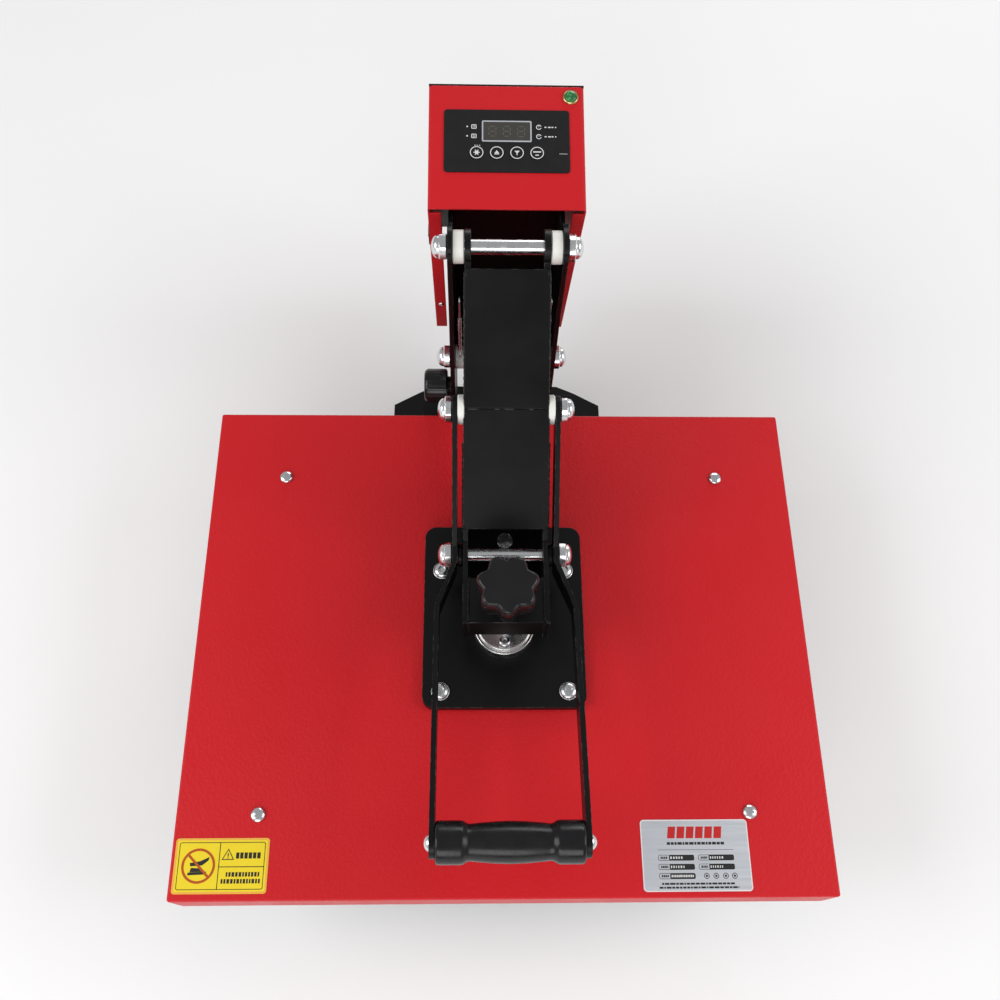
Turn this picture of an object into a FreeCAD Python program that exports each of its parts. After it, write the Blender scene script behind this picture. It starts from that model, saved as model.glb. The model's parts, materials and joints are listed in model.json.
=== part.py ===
"""Clamshell heat press with a 400 x 500 mm platen, closed, standing on rubber feet.

Millimetres, +Z up, +X to the operator's right, +Y away from the operator.
Positions are worked out from the platen's centre and the table top. On export the
whole press moves along Y, so that the origin is under the middle of its own box.
"""
import FreeCAD, Part
import math
import os

V = FreeCAD.Vector
X_AXIS = V(1, 0, 0)
Y_AXIS = V(0, 1, 0)
Z_AXIS = V(0, 0, 1)

# ---- driving dimensions ----
ORIGIN_SHIFT_Y = -114.695      # from the platen's centre to the middle of the whole box
COVER_TOP = 165.0              # height of the red cover's top face
COVER_HALF_X = 260.0
COVER_HALF_Y = 213.0
COVER_SKIRT = 45.0
SHEET = 1.5                    # sheet steel of the cover and the control box
PLATEN_HALF_X = 250.0
PLATEN_HALF_Y = 200.0
PAD_TOP = 112.6
HEAT_PLATEN = (113.0, 135.0)
INSULATION = (135.3, 158.0)

TOP_PIVOT = (250.0, COVER_TOP + 201.0)      # link to cheeks, as (y, z)
LOWER_PIVOT = (254.0, COVER_TOP + 37.0)     # arm to cheeks
FRONT_PIVOT = (48.0, COVER_TOP + 60.0)      # handle to arm
TOGGLE_S = 119.5                            # toggle pivot's distance from the front pivot

SHAFT_R = 6.0
FIT = 0.05                     # running clearance on the radius
ARM_INNER = 30.4
ARM_OUTER = 34.4
LINK_INNER = 28.5
LINK_OUTER = 33.5
CHEEK_INNER = 43.0
CHEEK_OUTER = 47.0
HANDLE_INNER = 39.2
HANDLE_OUTER = 43.2
HANDLE_WIDE = 54.8             # centre of a handle bar beside the grip
GRIP_CENTRE = (-182.0, COVER_TOP + 95.0)

ARM_BOTTOM = COVER_TOP + 20.0
PLATE_OFFSET = (7.0, 11.0)     # top plates above the line through the toggle's pivots
SCARF_S = 121.0                # where the arm's plate laps over the link's plate
SCARF_RUN = 5.7
SCARF_GAP = 0.6

BASE_BOTTOM = 14.0
BASE_PLATE_TOP = 22.0
RAIL_TOP = 52.0
LOWER_PLATEN = (88.0, 98.0)

BOX_CORNER = (283.5, COVER_TOP + 205.3)     # front top edge of the control box, (y, z)
BOX_TILT = 12.0
BOX_HALF_X = 63.0
BOX_DEPTH = 111.0
BOX_HEIGHT = 242.0
KEY_X = (-24.2, -8.1, 8.1, 24.2)
KEY_A = 49.0
KEY_R = 5.6
LOCK_KNOB = (242.0, COVER_TOP + 5.0)


# ---- small builders ----
def block(x0, x1, y0, y1, z0, z1):
    return Part.makeBox(x1 - x0, y1 - y0, z1 - z0, V(x0, y0, z0))


def rod_x(radius, centre, x0, x1):
    return Part.makeCylinder(radius, x1 - x0, V(x0, centre[0], centre[1]), X_AXIS)


def rod_z(radius, x, y, z0, z1):
    return Part.makeCylinder(radius, z1 - z0, V(x, y, z0), Z_AXIS)


def side_plate(points, x0, x1):
    """A flat plate across X, from its outline as (y, z) points."""
    ring = [V(x0, y, z) for y, z in points]
    return Part.Face(Part.makePolygon(ring + ring[:1])).extrude(V(x1 - x0, 0, 0))


def floor_plate(points, z0, z1):
    """A flat plate across Z, from its outline as (x, y) points."""
    ring = [V(x, y, z0) for x, y in points]
    return Part.Face(Part.makePolygon(ring + ring[:1])).extrude(V(0, 0, z1 - z0))


def rounded_block(x0, x1, y0, y1, z0, z1, radius):
    body = block(x0, x1, y0, y1, z0, z1)
    upright = [e for e in body.Edges if abs(e.tangentAt(e.FirstParameter).z) > 0.99]
    return body.makeFillet(radius, upright)


def mirrored(shape):
    return shape.mirror(V(0, 0, 0), X_AXIS)


def pair(shape):
    return Part.makeCompound([mirrored(shape), shape])


def joined(first, *others):
    return first.multiFuse(list(others)).removeSplitter()


def hexagon(across_flats, height):
    """Hexagonal prism standing on the origin."""
    corner = across_flats / math.sqrt(3.0)
    ring = [V(corner * math.cos(math.radians(a)), corner * math.sin(math.radians(a)), 0)
            for a in range(0, 360, 60)]
    return Part.Face(Part.makePolygon(ring + ring[:1])).extrude(V(0, 0, height))


def acorn_nut(across_flats, flat, dome):
    """Domed cap nut standing on the origin, dome upwards."""
    radius = across_flats / 2.0 - 0.6
    cap = Part.makeSphere(radius, V(0, 0, 0))
    stretch = FreeCAD.Matrix()
    stretch.scale(1.0, 1.0, dome / radius)
    cap = cap.transformGeometry(stretch)
    cap.translate(V(0, 0, flat))
    cap = cap.common(block(-50, 50, -50, 50, flat - 1.0, flat + 50))
    return joined(hexagon(across_flats, flat), cap)


def along_x(shape, x, centre):
    """Turn a shape that stands on the origin so that it points to +X, and place it."""
    turned = shape.copy()
    turned.rotate(V(0, 0, 0), Y_AXIS, 90)
    turned.translate(V(x, centre[0], centre[1]))
    return turned


def ring_x(outer, inner, centre, x0, x1):
    return rod_x(outer, centre, x0, x1).cut(rod_x(inner, centre, x0 - 1, x1 + 1))


def button_head(radius, height, x, y, z):
    """Low domed screw head with a socket, standing at z."""
    sphere_r = (radius ** 2 + height ** 2) / (2.0 * height)
    dome = Part.makeSphere(sphere_r, V(x, y, z + height - sphere_r))
    head = dome.common(rod_z(radius, x, y, z, z + height + 1))
    socket = hexagon(radius * 0.75, height)
    socket.translate(V(x, y, z + height * 0.45))
    return head.cut(socket)


def toggle_line():
    """Unit vectors along and above the line from the front pivot to the top pivot."""
    run = TOP_PIVOT[0] - FRONT_PIVOT[0]
    rise = TOP_PIVOT[1] - FRONT_PIVOT[1]
    length = math.hypot(run, rise)
    return length, (run / length, rise / length), (-rise / length, run / length)


LINE_LENGTH, ALONG, ABOVE = toggle_line()


def on_line(s, offset=0.0):
    """Point (y, z) at s along the toggle line and offset above it."""
    return (FRONT_PIVOT[0] + s * ALONG[0] + offset * ABOVE[0],
            FRONT_PIVOT[1] + s * ALONG[1] + offset * ABOVE[1])


TOGGLE_PIVOT = on_line(TOGGLE_S)


def in_box(shape):
    """Place a shape drawn in the control box's own frame: y back from the front top
    edge, z up from the panel face."""
    placed = shape.copy()
    placed.rotate(V(0, 0, 0), X_AXIS, BOX_TILT)
    placed.translate(V(0, BOX_CORNER[0], BOX_CORNER[1]))
    return placed


# ---- base ----
def base():
    feet = [(150, -145), (92, 262)]
    pads = []
    for x, y in feet:
        for side in (-1, 1):
            pads.append(Part.makeCone(17, 14, BASE_BOTTOM, V(side * x, y, 0), Z_AXIS))
    rear_half = [(112, 150), (112, 306), (84, 322), (66, 330)]
    rear_outline = rear_half + [(-x, y) for x, y in reversed(rear_half)]
    rails = rounded_block(47.3, 79.3, -176, 302, BASE_PLATE_TOP, RAIL_TOP, 2.0)
    pillars = [rod_z(11, 63 * sx, 125 * sy, RAIL_TOP, LOWER_PLATEN[0])
               for sx in (-1, 1) for sy in (-1, 1)]
    return {
        "foot_pads": Part.makeCompound(pads),
        "base_front_plate": rounded_block(-170, 170, -178, -112, BASE_BOTTOM, BASE_PLATE_TOP, 12),
        "base_rear_plate": floor_plate(rear_outline, BASE_BOTTOM, BASE_PLATE_TOP),
        "base_rails": pair(rails),
        "platen_pillars": Part.makeCompound(pillars),
        "lower_platen": rounded_block(-PLATEN_HALF_X, PLATEN_HALF_X, -PLATEN_HALF_Y,
                                      PLATEN_HALF_Y, LOWER_PLATEN[0], LOWER_PLATEN[1], 6),
        "silicone_pad": rounded_block(-PLATEN_HALF_X, PLATEN_HALF_X, -PLATEN_HALF_Y,
                                      PLATEN_HALF_Y, LOWER_PLATEN[1] + 0.1, PAD_TOP, 4),
    }


# ---- cheeks and fixed pivots ----
def cheek():
    outline = [(232, BASE_PLATE_TOP), (232, 185), (234, 225), (238, 285), (235, 350),
               (236, 375), (262, 380), (280, 357), (334, 352), (346, 300), (330, 60),
               (318, BASE_PLATE_TOP)]
    plate = side_plate(outline, CHEEK_INNER, CHEEK_OUTER)
    bosses = [rod_x(16, TOP_PIVOT, CHEEK_INNER, CHEEK_OUTER),
              rod_x(22, LOWER_PIVOT, CHEEK_INNER, CHEEK_OUTER)]
    plate = joined(plate, *bosses)
    for pivot in (TOP_PIVOT, LOWER_PIVOT):
        plate = plate.cut(rod_x(SHAFT_R + FIT, pivot, CHEEK_INNER - 1, CHEEK_OUTER + 1))
    return plate


def frame():
    nut = acorn_nut(19, 6.5, 6.0)
    top_nut = along_x(nut, CHEEK_OUTER + 0.1, TOP_PIVOT)
    low_nut = along_x(nut, CHEEK_OUTER + 0.1, LOWER_PIVOT)
    nylon = ring_x(13, SHAFT_R + FIT, TOP_PIVOT, LINK_OUTER + 0.3, CHEEK_INNER - 0.1)
    steel = ring_x(11, SHAFT_R + FIT, LOWER_PIVOT, ARM_OUTER + 0.2, CHEEK_INNER - 0.1)
    brace = block(-CHEEK_INNER, CHEEK_INNER, 312, 318, 90, 335)
    # the spring hangs on a pin in the cheek and pulls on the arm's heel
    spring = Part.makeCylinder(2.0, 88, V(38.0, 239, COVER_TOP + 62), Z_AXIS)
    right_cheek = cheek()
    return {
        "left_cheek": mirrored(right_cheek),
        "right_cheek": right_cheek,
        "cheek_brace": brace,
        "top_pivot_shaft": rod_x(SHAFT_R, TOP_PIVOT, -CHEEK_OUTER, CHEEK_OUTER),
        "lower_pivot_shaft": rod_x(SHAFT_R, LOWER_PIVOT, -CHEEK_OUTER, CHEEK_OUTER),
        "frame_cap_nuts": Part.makeCompound([pair(top_nut), pair(low_nut)]),
        "frame_washers": Part.makeCompound([pair(nylon), pair(steel)]),
        "balance_springs": pair(spring),
    }


# ---- control box ----
KEY_TRAVEL = 0.5
OVERLAY = 0.8
WINDOW = (-19.4, 19.4, 59.5, 77.0)
ROCKER = (14.0, -64.0)         # centre on the left wall, in the box's frame
INLET_Z = -205.0
LAMP = (52.0, 100.0)


def box_shell():
    outer = block(-BOX_HALF_X, BOX_HALF_X, 0, BOX_DEPTH - SHEET, -BOX_HEIGHT, 0)
    inner = block(-BOX_HALF_X + SHEET, BOX_HALF_X - SHEET, -1, BOX_DEPTH, -BOX_HEIGHT - 1, -SHEET)
    corners = [e for e in outer.Edges
               if abs(e.tangentAt(e.FirstParameter).y) > 0.99 and e.CenterOfMass.z > -1]
    shell = outer.makeFillet(3.0, corners).cut(inner)
    for side in (-1, 1):
        inner_x = BOX_HALF_X - SHEET
        flange = block(inner_x - 9, inner_x, 0, SHEET, -BOX_HEIGHT, -8)
        shell = shell.fuse(flange if side > 0 else mirrored(flange))
    shell = shell.removeSplitter()
    for x in KEY_X:
        shell = shell.cut(rod_z(KEY_R + 0.6, x, KEY_A, -5, 1))
    x0, x1, a0, a1 = WINDOW
    shell = shell.cut(block(x0 - 0.3, x1 + 0.3, a0 - 0.3, a1 + 0.3, -5, 1))
    shell = shell.cut(rod_z(4.2, LAMP[0], LAMP[1], -5, 1))
    a, z = ROCKER
    return shell.cut(block(-BOX_HALF_X - 1, -BOX_HALF_X + 2, a - 5.6, a + 5.6, z - 7.8, z + 7.8))


def rocker_parts():
    a, z = ROCKER
    wall = -BOX_HALF_X
    frame_plate = rounded_side(wall - 1.4, wall - 0.05, a, z, 8.0, 11.0)
    frame_plate = frame_plate.cut(block(wall - 3, wall + 1, a - 5.3, a + 5.3, z - 7.2, z + 7.2))
    drum = Part.makeCylinder(6.6, 9.6, V(wall + 3.4, a - 4.8, z), Y_AXIS)
    facets = []
    for tilt in (6, -14):
        cutter = block(-20, 0, -10, 10, -20, 20)
        cutter.translate(V(-5.4, 0, 0))
        cutter.rotate(V(0, 0, 0), Y_AXIS, tilt)
        cutter.translate(V(wall + 3.4, a, z))
        facets.append(cutter)
    drum = drum.cut(facets[0]).cut(facets[1])
    return frame_plate, drum


def rounded_side(x0, x1, a, z, half_a, half_z):
    body = block(x0, x1, a - half_a, a + half_a, z - half_z, z + half_z)
    across = [e for e in body.Edges if abs(e.tangentAt(e.FirstParameter).x) > 0.99]
    return body.makeFillet(1.5, across)


def power_inlet():
    """Appliance inlet: flange, body, recess and three blades."""
    y0 = BOX_DEPTH
    body = block(-14, 14, y0 - 24, y0 + 0.1, INLET_Z - 10.5, INLET_Z + 10.5)
    flange = block(-17, 17, y0 + 0.1, y0 + 3, INLET_Z - 14, INLET_Z + 14)
    inlet = joined(body, flange)
    inlet = inlet.cut(block(-12, 12, y0 - 15, y0 + 5, INLET_Z - 8, INLET_Z + 8))
    for x, z in ((-7, -2), (0, 2.5), (7, -2)):
        blade = block(x - 1, x + 1, y0 - 16, y0 - 6, INLET_Z + z - 2, INLET_Z + z + 2)
        inlet = inlet.fuse(blade)
    return inlet.removeSplitter()


def control_box():
    back = block(-BOX_HALF_X, BOX_HALF_X, BOX_DEPTH - SHEET + 0.05, BOX_DEPTH, -BOX_HEIGHT, 0)
    back = back.cut(block(-14.2, 14.2, 90, 120, INLET_Z - 10.7, INLET_Z + 10.7))
    screws = []
    for side in (-1, 1):
        for z in (-196, -30):
            rear = button_head(3.2, 2.0, 0, 0, 0)
            rear.rotate(V(0, 0, 0), X_AXIS, -90)
            rear.translate(V(side * 54, BOX_DEPTH + 0.05, z))
            screws.append(rear)
        front = button_head(2.6, 1.8, 0, 0, 0)
        front.rotate(V(0, 0, 0), X_AXIS, 90)
        front.translate(V(side * 57, -0.05, -186))
        screws.append(front)
    x0, x1, a0, a1 = WINDOW
    overlay = rounded_block(-50.5, 50.5, 31.8, 87.5, 0.05, OVERLAY, 3)
    overlay = overlay.cut(block(x0 - 0.2, x1 + 0.2, a0 - 0.2, a1 + 0.2, -1, 2))
    for x in KEY_X:
        overlay = overlay.cut(rod_z(KEY_R + 0.3, x, KEY_A, -1, 2))
    board = block(-46, 46, 34, 86, -14, -5)
    lamp = joined(rod_z(3.9, LAMP[0], LAMP[1], -14, 0.05), rod_z(6.6, LAMP[0], LAMP[1], 0.05, 1.6),
                  rod_z(4.9, LAMP[0], LAMP[1], 1.6, 3.4))
    bezel, drum = rocker_parts()
    parts = {
        "box_shell": box_shell(),
        "box_back_cover": back,
        "box_screws": Part.makeCompound(screws),
        "panel_overlay": overlay,
        "display_window": block(x0, x1, a0, a1, -4.8, OVERLAY + 0.3),
        "controller_board": board,
        "pilot_lamp": lamp,
        "switch_bezel": bezel,
        "power_rocker": drum,
        "power_inlet": power_inlet(),
    }
    for index, x in enumerate(KEY_X):
        key = rod_z(KEY_R, x, KEY_A, -2.6, OVERLAY + 0.5)
        parts["panel_key_%d" % (index + 1)] = key
    return {name: in_box(shape) for name, shape in parts.items()}


def lock_knob():
    """Knurled hand knob on a stud through the left cheek."""
    y, z = LOCK_KNOB
    body = rod_x(16, (y, z), -72, -50)
    body = body.makeFillet(1.5, [e for e in body.Edges if e.Length > 60])
    return joined(body, rod_x(9, (y, z), -50.5, -47.4))


# ---- arm ----
STOP_Y = 60.5


def arm_plate():
    rear = LOWER_PIVOT
    hump_low = on_line(14, PLATE_OFFSET[0] - 0.05)
    hump_high = on_line(96, PLATE_OFFSET[0] - 0.05)
    outline = [(rear[0], rear[1] - 16.5), (20, ARM_BOTTOM), (-16, COVER_TOP + 40),
               (-16, COVER_TOP + 76), (34, COVER_TOP + 76), hump_low, hump_high,
               (128, COVER_TOP + 112), (134, COVER_TOP + 60), (146, COVER_TOP + 34),
               (232, COVER_TOP + 34), (rear[0], rear[1] + 16)]
    plate = side_plate(outline, ARM_INNER, ARM_OUTER)
    plate = joined(plate, rod_x(16.5, rear, ARM_INNER, ARM_OUTER))
    for pivot in (rear, FRONT_PIVOT):
        plate = plate.cut(rod_x(SHAFT_R + FIT, pivot, ARM_INNER - 1, ARM_OUTER + 1))
    return plate


def top_plate(s0, s1, bevel_front, bevel_rear, half_x):
    """A plate lying above the toggle line, with slanted ends."""
    low, high = PLATE_OFFSET
    outline = [on_line(s0 - bevel_front, low), on_line(s1 - bevel_rear, low),
               on_line(s1, high), on_line(s0, high)]
    return side_plate(outline, -half_x, half_x)


def arm():
    right = arm_plate()
    cover = top_plate(24, SCARF_S, 0, SCARF_RUN, ARM_OUTER)
    relief = rod_x(12.6, TOGGLE_PIVOT, LINK_OUTER - 0.2, ARM_OUTER + 1)
    cover = cover.cut(relief).cut(mirrored(relief))
    cross = block(-ARM_INNER, ARM_INNER, 52, 76, COVER_TOP + 44, COVER_TOP + 48)
    floor = block(-ARM_INNER, ARM_INNER, 34, 140, ARM_BOTTOM + 0.2, ARM_BOTTOM + 4)
    bracket = joined(block(-ARM_INNER, ARM_INNER, -15.5, 22, COVER_TOP + 71.5, COVER_TOP + 76),
                     block(-ARM_INNER, ARM_INNER, -15.5, -11.5, COVER_TOP + 46, COVER_TOP + 72))
    bracket = bracket.cut(rod_z(8.4, 0, 0, COVER_TOP, COVER_TOP + 100))
    nut = hexagon(20, 19)
    nut.translate(V(0, 0, COVER_TOP + 52.4))
    nut = nut.cut(rod_z(8.4, 0, 0, COVER_TOP, COVER_TOP + 100))
    stop = joined(rod_z(4, 0, STOP_Y, COVER_TOP + 36, COVER_TOP + 56),
                  rod_z(6.5, 0, STOP_Y, COVER_TOP + 56, COVER_TOP + 61))
    cross = cross.cut(rod_z(4.02, 0, STOP_Y, COVER_TOP + 30, COVER_TOP + 60))
    shaft = rod_x(5.2, FRONT_PIVOT, -HANDLE_OUTER - 0.2, HANDLE_OUTER + 0.2)
    collar = rod_x(9.0, FRONT_PIVOT, ARM_OUTER + 0.05, HANDLE_INNER - 0.1)
    front_nut = along_x(acorn_nut(19, 6.5, 5.0), HANDLE_OUTER + 0.3, FRONT_PIVOT)
    return {
        "arm_left_plate": mirrored(right),
        "arm_right_plate": right,
        "arm_top_plate": cover,
        "arm_cross_plates": Part.makeCompound([cross, floor]),
        "nut_bracket": bracket,
        "pressure_nut": nut,
        "stop_screw": stop,
        "front_pivot_shaft": joined(shaft, collar, mirrored(collar)),
        "front_cap_nuts": pair(front_nut),
    }


# ---- link ----
def link_bar():
    low = -14.0
    outline = [on_line(TOGGLE_S, low + 2), on_line(LINE_LENGTH, low),
               on_line(LINE_LENGTH + 6, PLATE_OFFSET[0]), on_line(TOGGLE_S - 3, PLATE_OFFSET[0])]
    bar = side_plate(outline, LINK_INNER, LINK_OUTER)
    bar = joined(bar, rod_x(14, TOP_PIVOT, LINK_INNER, LINK_OUTER))
    bar = joined(bar, rod_x(12, TOGGLE_PIVOT, LINK_INNER, LINK_OUTER).common(
        side_plate([on_line(60, PLATE_OFFSET[0]), on_line(160, PLATE_OFFSET[0]),
                    on_line(160, -40), on_line(60, -40)], LINK_INNER, LINK_OUTER)))
    for pivot in (TOP_PIVOT, TOGGLE_PIVOT):
        bar = bar.cut(rod_x(SHAFT_R + FIT, pivot, LINK_INNER - 1, LINK_OUTER + 1))
    return bar


def link():
    right = link_bar()
    plate = top_plate(SCARF_S + SCARF_GAP, LINE_LENGTH - 17, SCARF_RUN, 0, LINK_OUTER)
    washer = ring_x(12, SHAFT_R + FIT, TOGGLE_PIVOT, LINK_OUTER + 0.1, HANDLE_INNER - 0.3)
    return {
        "link_left_bar": mirrored(right),
        "link_right_bar": right,
        "link_top_plate": plate,
        "toggle_washers": pair(washer),
    }


# ---- handle ----
BAR_HALF_HEIGHT = 11.0
BAR_THICK = HANDLE_OUTER - HANDLE_INNER
BEND_START_Y = 36.0
BEND_END_Y = -3.0


def handle_bar():
    """A flat bar that spreads outwards ahead of the front pivot."""
    x_in = HANDLE_INNER
    x_wide = HANDLE_WIDE - BAR_THICK / 2.0
    far = GRIP_CENTRE[0] - 13
    plan = [(x_in, 180), (x_in, BEND_START_Y), (x_wide, BEND_END_Y), (x_wide, far - 5),
            (x_wide + BAR_THICK, far - 5), (x_wide + BAR_THICK, BEND_END_Y),
            (x_in + BAR_THICK, BEND_START_Y), (x_in + BAR_THICK, 180)]
    half = BAR_HALF_HEIGHT
    knee = (2.0, COVER_TOP + 68)
    upper = [on_line(TOGGLE_S, half), on_line(10, half), (knee[0], knee[1] + half),
             (GRIP_CENTRE[0], GRIP_CENTRE[1] + half)]
    lower = [(GRIP_CENTRE[0], GRIP_CENTRE[1] - half), (knee[0], knee[1] - half),
             (FRONT_PIVOT[0], FRONT_PIVOT[1] - half - 2), on_line(TOGGLE_S, -half)]
    side = side_plate(upper + lower, x_in - 5, x_wide + 20)
    for centre, radius in ((TOGGLE_PIVOT, half), (GRIP_CENTRE, half), (FRONT_PIVOT, half + 2)):
        side = side.fuse(rod_x(radius, centre, x_in - 5, x_wide + 20))
    bar = floor_plate(plan, COVER_TOP, COVER_TOP + 200).common(side)
    bar = bar.cut(rod_x(5.25, FRONT_PIVOT, 0, 100))
    bar = bar.cut(rod_x(4.05, GRIP_CENTRE, 0, 100))
    return bar.cut(rod_x(5.05, TOGGLE_PIVOT, 0, 100)).removeSplitter()


def grip():
    """Turned grip: end collars, shallow waists and a slightly swollen barrel."""
    end = HANDLE_WIDE - BAR_THICK / 2.0 - 0.3
    half_profile = [(end, 4.1), (end, 13.8), (end - 1.2, 15), (end - 19, 15), (end - 21.5, 13.2),
                    (end - 24, 12.6), (end - 30, 13.4), (0, 14.5)]
    points = half_profile + [(-x, r) for x, r in reversed(half_profile[:-1])]
    ring = [V(x, GRIP_CENTRE[0], GRIP_CENTRE[1] + r) for x, r in points]
    face = Part.Face(Part.makePolygon(ring + ring[:1]))
    return face.revolve(V(0, GRIP_CENTRE[0], GRIP_CENTRE[1]), X_AXIS, 360)


def handle():
    right = handle_bar()
    outside = HANDLE_WIDE + BAR_THICK / 2.0
    through = rod_x(4.0, GRIP_CENTRE, -outside - 0.1, outside + 0.1)
    head = along_x(button_head(6.2, 4.2, 0, 0, 0), outside + 0.1, GRIP_CENTRE)
    nut = along_x(acorn_nut(19, 6.0, 5.5), HANDLE_OUTER + 0.1, TOGGLE_PIVOT)
    stub = rod_x(5.0, TOGGLE_PIVOT, HANDLE_INNER, HANDLE_OUTER + 0.1)
    return {
        "handle_left_bar": mirrored(right),
        "handle_right_bar": right,
        "handle_grip": grip(),
        "grip_bolt": joined(through, head, mirrored(head)),
        "toggle_cap_bolts": pair(joined(nut, stub)),
    }


# ---- upper platen ----
PLATE_TOP = COVER_TOP + 8.0
DISC_TOP = PLATE_TOP + 18.0
LABEL = 0.3


def upper_platen():
    cover = rounded_block(-COVER_HALF_X, COVER_HALF_X, -COVER_HALF_Y, COVER_HALF_Y,
                          COVER_TOP - COVER_SKIRT, COVER_TOP, 2.0)
    rim = [e for e in cover.Edges if e.BoundBox.ZMin > COVER_TOP - 0.01]
    cover = cover.makeFillet(1.4, rim)
    cover = cover.cut(block(-COVER_HALF_X + SHEET, COVER_HALF_X - SHEET, -COVER_HALF_Y + SHEET,
                            COVER_HALF_Y - SHEET, 0, COVER_TOP - SHEET))
    plate = rounded_block(-68, 68, -66, 95, COVER_TOP + 0.1, PLATE_TOP, 10)
    bolts = [button_head(7, 4.6, x, y, PLATE_TOP + 0.1) for x in (-53, 53) for y in (-52.5, 54)]
    disc = joined(rod_z(25, 0, 0, PLATE_TOP + 0.1, DISC_TOP - 4), rod_z(22.5, 0, 0, DISC_TOP - 5, DISC_TOP))
    disc = disc.cut(rod_z(8.4, 0, 0, PLATE_TOP + 4, DISC_TOP + 1))
    disc_screws = []
    for turn in (-90, 30, 150):
        x = 15.5 * math.cos(math.radians(turn))
        y = 15.5 * math.sin(math.radians(turn))
        disc_screws.append(button_head(4.8, 3.0, x, y, DISC_TOP + 0.1))
    cover_screws = [button_head(5.8, 3.4, x, y, COVER_TOP + 0.1)
                    for x in (-195.5, 195.5) for y in (-149.0, 147.5)]
    label_z = (COVER_TOP + 0.05, COVER_TOP + 0.05 + LABEL)
    return {
        "heat_platen": rounded_block(-PLATEN_HALF_X, PLATEN_HALF_X, -PLATEN_HALF_Y,
                                     PLATEN_HALF_Y, HEAT_PLATEN[0], HEAT_PLATEN[1], 5),
        "insulation_blanket": block(-245, 245, -195, 195, INSULATION[0], INSULATION[1]),
        "platen_cover": cover,
        "mounting_plate": plate,
        "plate_bolts": Part.makeCompound(bolts),
        "thrust_flange": disc,
        "flange_screws": Part.makeCompound(disc_screws),
        "cover_screws": Part.makeCompound(cover_screws),
        "caution_label": rounded_block(-257, -184.5, -207.5, -166.5, *label_z, 2.5),
        "rating_label": rounded_block(106.5, 192, -208.5, -154.5, *label_z, 3),
    }


# ---- pressure knob ----
KNOB = (COVER_TOP + 95.0, COVER_TOP + 124.0)
KNOB_LOBES = 7


def pressure_drive():
    knob = rod_z(21.5, 0, 0, KNOB[0], KNOB[1])
    for index in range(KNOB_LOBES):
        turn = math.radians(-90 + 360.0 * index / KNOB_LOBES)
        knob = knob.fuse(rod_z(6.5, 18.5 * math.cos(turn), 18.5 * math.sin(turn), KNOB[0] + 3, KNOB[1]))
    knob = knob.removeSplitter().cut(rod_z(8.02, 0, 0, KNOB[0] - 1, KNOB[1] - 6))
    lock_nut = hexagon(24, 9)
    lock_nut.translate(V(0, 0, KNOB[0] - 9.1))
    screw = rod_z(8.0, 0, 0, PLATE_TOP + 4.3, KNOB[1] - 6.2)
    return {"pressure_knob": knob, "pressure_screw": joined(screw, lock_nut)}


def main():
    os.makedirs("parts", exist_ok=True)
    press = {"lock_knob": lock_knob()}
    for build in (base, frame, control_box, arm, link, handle, upper_platen, pressure_drive):
        press.update(build())
    for node, shape in press.items():
        placed = shape.copy()
        placed.translate(V(0, ORIGIN_SHIFT_Y, 0))
        placed.exportStep("parts/%s.step" % node)
    whole = Part.makeCompound(list(press.values())).BoundBox
    print("nodes", len(press), "box y", whole.YMin, whole.YMax, "z", whole.ZMin, whole.ZMax)


main()
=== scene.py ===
import bpy
import bmesh
import json
import math
import random
from mathutils import Matrix, Vector


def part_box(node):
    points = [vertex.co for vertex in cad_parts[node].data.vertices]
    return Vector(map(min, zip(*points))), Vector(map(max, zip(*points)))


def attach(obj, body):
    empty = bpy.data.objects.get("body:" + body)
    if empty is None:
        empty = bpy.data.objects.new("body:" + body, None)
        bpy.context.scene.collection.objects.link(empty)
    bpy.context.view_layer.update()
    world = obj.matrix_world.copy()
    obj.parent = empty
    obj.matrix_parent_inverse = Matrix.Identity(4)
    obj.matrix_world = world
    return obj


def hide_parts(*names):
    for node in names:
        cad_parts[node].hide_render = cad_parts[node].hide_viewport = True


# Looks of the clamshell heat press: materials, fine meshes, lights and camera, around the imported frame.
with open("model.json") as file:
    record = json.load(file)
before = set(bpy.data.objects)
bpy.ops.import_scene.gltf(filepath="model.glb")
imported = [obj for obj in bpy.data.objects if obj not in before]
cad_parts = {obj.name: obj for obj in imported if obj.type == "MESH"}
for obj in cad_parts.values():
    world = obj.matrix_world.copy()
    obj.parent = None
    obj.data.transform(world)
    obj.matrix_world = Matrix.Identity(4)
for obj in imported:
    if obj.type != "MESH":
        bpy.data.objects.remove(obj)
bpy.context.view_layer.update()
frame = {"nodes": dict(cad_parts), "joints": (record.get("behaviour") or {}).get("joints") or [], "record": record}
NODES = frame["nodes"]
SLOTS = {entry["node"]: entry["material_slot"] for entry in frame["record"]["subparts"]}
JOINTS = {joint["name"]: joint for joint in frame["joints"]}


# ---- places, read from the frame ----
def middle(node):
    low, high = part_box(node)
    return (Vector(low) + Vector(high)) / 2


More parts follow.
